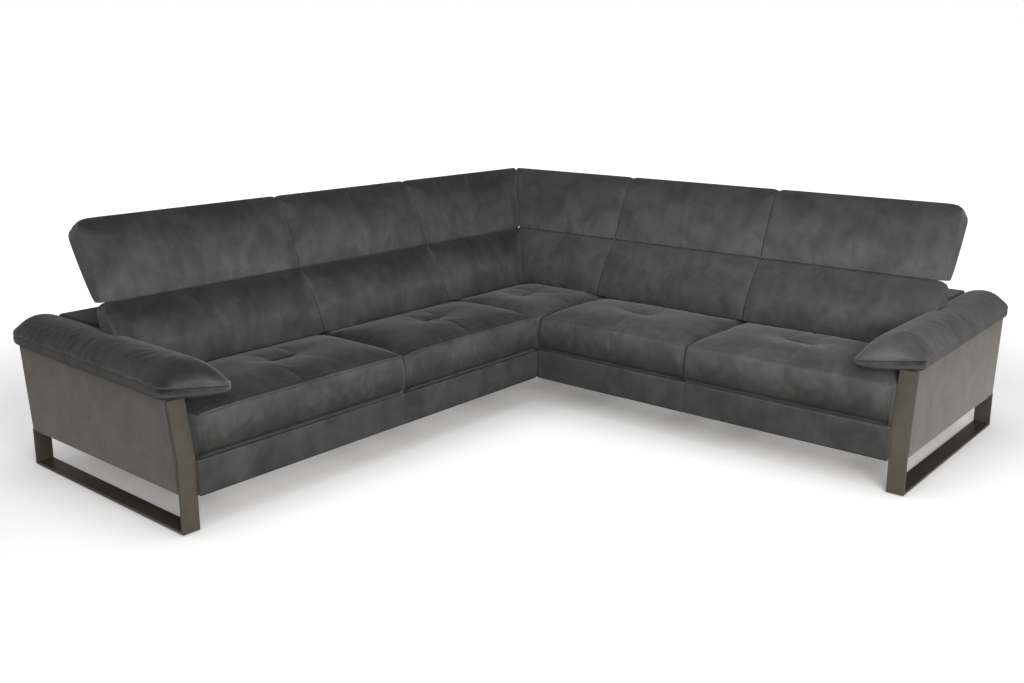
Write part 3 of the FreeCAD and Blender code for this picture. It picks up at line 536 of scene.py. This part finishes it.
backLook = dict(radius=0.006, tall=0.29, thick=0.11, rear=(0.390, 0.440), front=(0.502, 0.436),
                rim=(0.297, 0.698), crease=(0.350, 0.702), bulge=0.030, room=0.0015, brow=0.015,
                corner=0.008, outerCorner=0.045, seamIn=0.016)
headLook = dict(radius=0.006, tall=0.32, thick=0.100, rear=(0.300, 0.7005), front=(0.352, 0.7055),
                rim=(0.126, 0.971), crease=(0.2145, 1.022), bulge=0.019, room=0.002, brow=0.040,
                corner=0.020, outerCorner=0.045, heel=0.024, seamIn=0.013)


def uprightCover(wing, part, index, look, body):
    name = "%s_%s_%d" % (wing, part, index)
    low, high = wingBox(name, wing)
    head = part == "headrest"
    corner = index == 3
    outer = index == 1
    size = Vector((look["thick"], high.y - low.y, look["tall"]))
    rear, front, rim, crease = (Vector(look[key]) for key in ("rear", "front", "rim", "crease"))
    face = crease - front
    out = Vector((face.y, -face.x)).normalized()
    farCorner = look["outerCorner"] if outer else look["corner"]

    def shape(spot):
        cornerRounded(spot, size, (1, 2), (True, True), farCorner)
        cornerRounded(spot, size, (1, 2), (False, True), look["corner"])
        if head:
            cornerRounded(spot, size, (0, 2), (False, True), look["brow"])
            cornerRounded(spot, size, (0, 2), (False, False), look["heel"])
        cornerRounded(spot, size, (0, 2), (True, True), look["brow"])
        across = spot.x / size.x
        up = spot.z / size.z
        b = spot.y / size.y
        place = rear.lerp(front, across).lerp(rim.lerp(crease, across), up)
        ends = abs(2 * b - 1)
        swell = hump(up, 2.2) * (1 - 0.35 * ends ** 8)
        place += out * look["bulge"] * swell * (across if not head else 1.5 * across - 0.5)
        start = place.x + look["room"] if corner else low.y
        return Vector((place.x, start + (high.y - start) * b, place.y))

    def held(place):
        if place.x < size.x * 0.3 or place.z < onEdge or min(place.y, size.y - place.y) < onEdge:
            return 1
        return 0.7 if place.z > size.z - onEdge else 0

    seams = []
    if outer:
        seams += [
            dict(fixed={0: size.x - look["seamIn"], 1: size.y}, deep=0.0028, pucker=0.003,
                 fall=0.03, grain=30, seed=index + (7 if head else 3), span=(0, size.z)),
            dict(fixed={1: size.y, 2: size.z}, deep=0, pucker=0.005, fall=0.035, grain=40,
                 seed=5.5, span=(0, size.x)),
        ]
    if head:
        seams.append(dict(fixed={0: 0.012, 2: size.z}, deep=0.0024, span=(0.0, size.y)))
        seams.append(dict(fixed={0: 0, 1: size.y * 0.5}, deep=0.002, span=(0, size.z)))
    seams.append(dict(fixed={1: size.y, 2: 0}, deep=0, pucker=0.005, fall=0.03, grain=44,
                      seed=8.1, span=(0, size.x)))
    addCover(name, wing, body, size, look["radius"], seams, shape, held, 0.8,
             (headVelvet if head else seatVelvet)[wing], softEnds=(False, outer))


for wing in wings:
    for index in (1, 2, 3):
        uprightCover(wing, "back_cushion", index, backLook, "sofa")
        uprightCover(wing, "headrest", index, headLook, "%s_head_%d" % (wing, index))
print("back cushions and headrests shaped")

# Arm pads: an upright band round the outside and the nose, and a top that arches over the
# panel and hangs over the seat. The nose is slanted, furthest forward at the inner side.

padLook = dict(radius=0.010, band=0.042, crest=0.612, rear=0.492, front=0.478, overhang=0.012,
               narrow=0.169, wide=0.236, backFace=0.384, tail=-0.172, nose=1.014, outerNose=0.905,
               blockWide=0.25, blockTall=0.10, seamAt=0.86, dartAt=0.36, lip=0.014,
               corners=((True, False, 0.014), (True, True, 0.030),
                        (False, False, 0.040), (False, True, 0.040)))


def armPad(wing):
    name = wing + "_arm_pad"
    look = padLook
    low, high = wingBox(name, wing)
    reach = high.y - look["overhang"]
    size = Vector((look["nose"] - look["tail"], look["blockWide"], look["blockTall"]))
    seamUp = size.z * look["seamAt"]
    dart = size.y * look["dartAt"]

    def shape(spot):
        for atNose, inside, radius in look["corners"]:
            cornerRounded(spot, size, (0, 1), (atNose, inside), radius)
        b = spot.y / size.y
        c = spot.z / size.z
        along = spot.x / size.x
        # The nose runs from the outer corner forwards to the inner tip, which is rounded.
        noseLine = look["outerNose"] + (look["nose"] - look["outerNose"]) * math.sin(
            math.pi / 2 * clamped(b / 0.75)) ** 0.9 - 0.05 * max((b - 0.75) / 0.25, 0) ** 2
        u = look["tail"] + (noseLine - look["tail"]) * along
        noseFull = fullness(noseLine - u + 0.002, 0.15)
        tailFull = fullness(u - look["tail"] + 0.003, 0.085)
        under = look["rear"] + (look["front"] - look["rear"]) * clamped(u / 0.92) + 0.0015
        under += 0.036 * (1 - tailFull)
        widen = smoothStep((u - look["backFace"] + 0.012) / 0.03)
        outer = -look["overhang"] + 0.035 * (1 - tailFull)
        inner = look["narrow"] + (look["wide"] - look["narrow"]) * widen - 0.05 * (1 - tailFull)
        inset = outer + (inner - outer) * b
        share = clamped((inset - outer) / (look["wide"] - outer))
        band = look["band"] * (1 - 0.7 * (1 - tailFull)) * (1 - 0.35 * (1 - noseFull) * b)
        arch = (look["crest"] - under - band) * hump(share, 2.3) * noseFull * tailFull
        top = band + (look["lip"] - band) * share + arch
        return Vector((u, reach - inset, under + top * c))

    def held(place):
        if place.z < seamUp + onEdge or place.y > size.y * 0.75:
            return 1
        return 0.3

    seams = [
        dict(fixed={1: 0, 2: seamUp}, deep=0.0030, pucker=0.0005, fall=0.02, grain=12, seed=1.7,
             span=(0.05, size.x)),
        dict(fixed={0: size.x, 2: seamUp}, deep=0.0026, pucker=0.004, fall=0.03, grain=48,
             seed=4.2, span=(0, size.y * 0.9)),
        dict(fixed={0: size.x, 1: 0}, deep=0.0015, pucker=0.006, fall=0.035, grain=60, seed=6.3,
             span=(0, size.z)),
        dict(fixed={0: size.x, 1: dart}, deep=0.0024, span=(0, size.z)),
        dict(fixed={1: dart, 2: size.z}, deep=0.003, span=(size.x - 0.035, size.x)),
    ]
    addCover(name, wing, "sofa", size, look["radius"], seams, shape, held, 0.7, seatVelvet[wing])


for wing in wings:
    armPad(wing)
print("arm pads shaped")

clothLook = dict(quality=4, mass=0.3, tension=12, bending=1.2, pressure=2.4, shrink=-0.006,
                 most=0.014, moments=20)
easeCovers(clothLook)
print("cloth eased")
for cover in covers:
    stitchCover(cover)
    finishCover(cover)
print("covers stitched")


# Covered panels and rails: the CAD solid's own outline with soft edges

coverEdge = 0.006
railEdge = 0.013
seamDeep = 0.0022


def sewn(form, wing, v):
    # A seam right round a panel where v has this value.
    turn = wingMatrix[wing]
    normal = (turn.to_3x3() @ Vector((0, 1, 0))).normalized()
    for shift in (-stitchHalf, 0, stitchHalf):
        parts = form.verts[:] + form.edges[:] + form.faces[:]
        spot = turn @ Vector((0, v + shift, 0))
        bmesh.ops.bisect_plane(form, geom=parts, dist=1e-6, plane_co=spot, plane_no=normal)
    form.normal_update()
    centre = turn @ Vector((0, v, 0))
    line = [vert for vert in form.verts if abs((vert.co - centre).dot(normal)) < 1e-5]
    for vert in line:
        vert.co -= vert.normal * seamDeep


def softenedCopy(node, width, material, wing="left", seams=()):
    form = bmesh.new()
    form.from_mesh(frame["nodes"][node].data)
    bmesh.ops.remove_doubles(form, verts=form.verts[:], dist=1e-5)
    bmesh.ops.dissolve_limit(form, angle_limit=math.radians(3), verts=form.verts[:],
                             edges=form.edges[:])
    sharp = [edge for edge in form.edges
             if len(edge.link_faces) == 2 and edge.calc_face_angle(0) > math.radians(25)]
    bmesh.ops.bevel(form, geom=sharp, offset=width, offset_type="OFFSET", segments=4,
                    profile=0.5, affect="EDGES", material=-1, clamp_overlap=True)
    for v in seams:
        sewn(form, wing, v)
    mesh = bpy.data.meshes.new(node + "_skin")
    form.to_mesh(mesh)
    form.free()
    for face in mesh.polygons:
        face.use_smooth = True
    mesh.materials.append(material)
    piece = bpy.data.objects.new(node + "_skin", mesh)
    scene.collection.objects.link(piece)
    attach(piece, "sofa")
    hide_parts(node)


for wing in wings:
    division = wingBox(wing + "_seat_cushion_2", wing)[1].y + 0.001
    softenedCopy(wing + "_arm_panel", coverEdge, sideVelvet)
    softenedCopy(wing + "_front_rail", railEdge, seatVelvet[wing], wing, [division])
    softenedCopy(wing + "_back_cover", coverEdge, seatVelvet[wing], wing, [division])
softenedCopy("corner_plinth_post", railEdge, charcoalVelvet)
softenedCopy("corner_back_cover", coverEdge, charcoalVelvet)
print("covered panels made")

# CAD nodes that stay, each with its finish

finishes = {"bronze_steel": bronzeSteel, "black_steel": blackSteel, "zinc_steel": zincSteel,
            "timber": timberFinish, "webbing": webbingFinish, "black_plastic": plasticFinish,
            "felt": feltFinish, "velvet": charcoalVelvet}
for row in frame["record"]["subparts"]:
    mesh = frame["nodes"][row["node"]].data
    mesh.materials.clear()
    mesh.materials.append(finishes[row["material_slot"]])
print("finishes set")

# Floor, light and camera

floorMesh = bpy.data.meshes.new("floor")
floorForm = bmesh.new()
bmesh.ops.create_grid(floorForm, x_segments=1, y_segments=1, size=60)
floorForm.to_mesh(floorMesh)
floorForm.free()
floor = bpy.data.objects.new("floor", floorMesh)
scene.collection.objects.link(floor)

# The floor looks white to the camera, with soft shadows on it: the ones cast by the lamps and a
# painted shadow near the sofa.
floorMaterial, nodes, links = newMaterial("white_floor")
floorShader = nodes["Principled BSDF"]
floorShader.inputs["Roughness"].default_value = 0.9
floorShader.inputs["Specular IOR Level"].default_value = 0
floorShader.inputs["Emission Color"].default_value = (1, 1, 1, 1)
rays = nodes.new("ShaderNodeLightPath")
tone = nodes.new("ShaderNodeMix")
tone.data_type = "RGBA"
tone.inputs[6].default_value = (0.86, 0.82, 0.77, 1)
tone.inputs[7].default_value = (0.9, 0.9, 0.9, 1)
links.new(rays.outputs["Is Camera Ray"], tone.inputs[0])
links.new(tone.outputs[2], floorShader.inputs["Base Color"])
away = nodes.new("ShaderNodeVectorMath")
away.operation = "LENGTH"
links.new(nodes.new("ShaderNodeTexCoord").outputs["Object"], away.inputs[0])
# Painted shadow: where ambient occlusion finds the sofa close, the floor's glow to the camera is
# turned down, darkening the floor under and round the sofa. Further off, the glow rises to keep
# the floor white.
contactShadow = nodes.new("ShaderNodeAmbientOcclusion")
contactShadow.inputs["Distance"].default_value = 0.3
contactShadow.samples = 8
shaded = nodes.new("ShaderNodeMath")
shaded.operation = "MAXIMUM"
links.new(ranged(nodes, links, away.outputs["Value"], 1.2, 4.5, 0, 1.0), shaded.inputs[0])
links.new(ranged(nodes, links, contactShadow.outputs["AO"], 0.25, 1, 0.02, 0.40), shaded.inputs[1])
glow = nodes.new("ShaderNodeMath")
glow.operation = "MULTIPLY"
links.new(shaded.outputs[0], glow.inputs[0])
links.new(rays.outputs["Is Camera Ray"], glow.inputs[1])
links.new(glow.outputs[0], floorShader.inputs["Emission Strength"])
floorMesh.materials.append(floorMaterial)

world = bpy.data.worlds.new("studio")
scene.world = world
world.use_nodes = True
nodes = world.node_tree.nodes
links = world.node_tree.links
background = nodes["Background"]
rays = nodes.new("ShaderNodeLightPath")
level = nodes.new("ShaderNodeMix")
level.data_type = "RGBA"
level.inputs[6].default_value = (0.27, 0.27, 0.27, 1)
level.inputs[7].default_value = (1, 1, 1, 1)
links.new(rays.outputs["Is Camera Ray"], level.inputs[0])
links.new(level.outputs[2], background.inputs["Color"])


def softLamp(name, place, target, size, power):
    lamp = bpy.data.lights.new(name, "AREA")
    lamp.shape = "RECTANGLE"
    lamp.size, lamp.size_y = size
    lamp.energy = power
    holder = bpy.data.objects.new(name, lamp)
    holder.location = place
    holder.rotation_euler = (Vector(target) - Vector(place)).to_track_quat("-Z", "Y").to_euler()
    scene.collection.objects.link(holder)


softLamp("overhead", (0.3, -0.6, 3.4), (-0.1, 0.1, 0.3), (4, 4), 34)
softLamp("side", (3.2, -2.2, 1.6), (-0.2, 0.4, 0.5), (2.2, 1.8), 120)
softLamp("low", (2.2, -3.4, 0.8), (-0.2, 0.4, 0.6), (1.6, 0.8), 26)

cameraLook = dict(place=(2.7072, -3.3703, 1.5891), tilt=77.21, turn=40.11, lens=37.40,
                  shift=-0.0391)
camera = bpy.data.cameras.new("camera")
cameraObject = bpy.data.objects.new("camera", camera)
scene.collection.objects.link(cameraObject)
scene.camera = cameraObject
cameraObject.location = cameraLook["place"]
cameraObject.rotation_euler = (math.radians(cameraLook["tilt"]), 0,
                               math.radians(cameraLook["turn"]))
camera.sensor_width = 36
camera.lens = cameraLook["lens"]
camera.shift_y = cameraLook["shift"]

scene.view_settings.view_transform = "Standard"
print("studio ready")
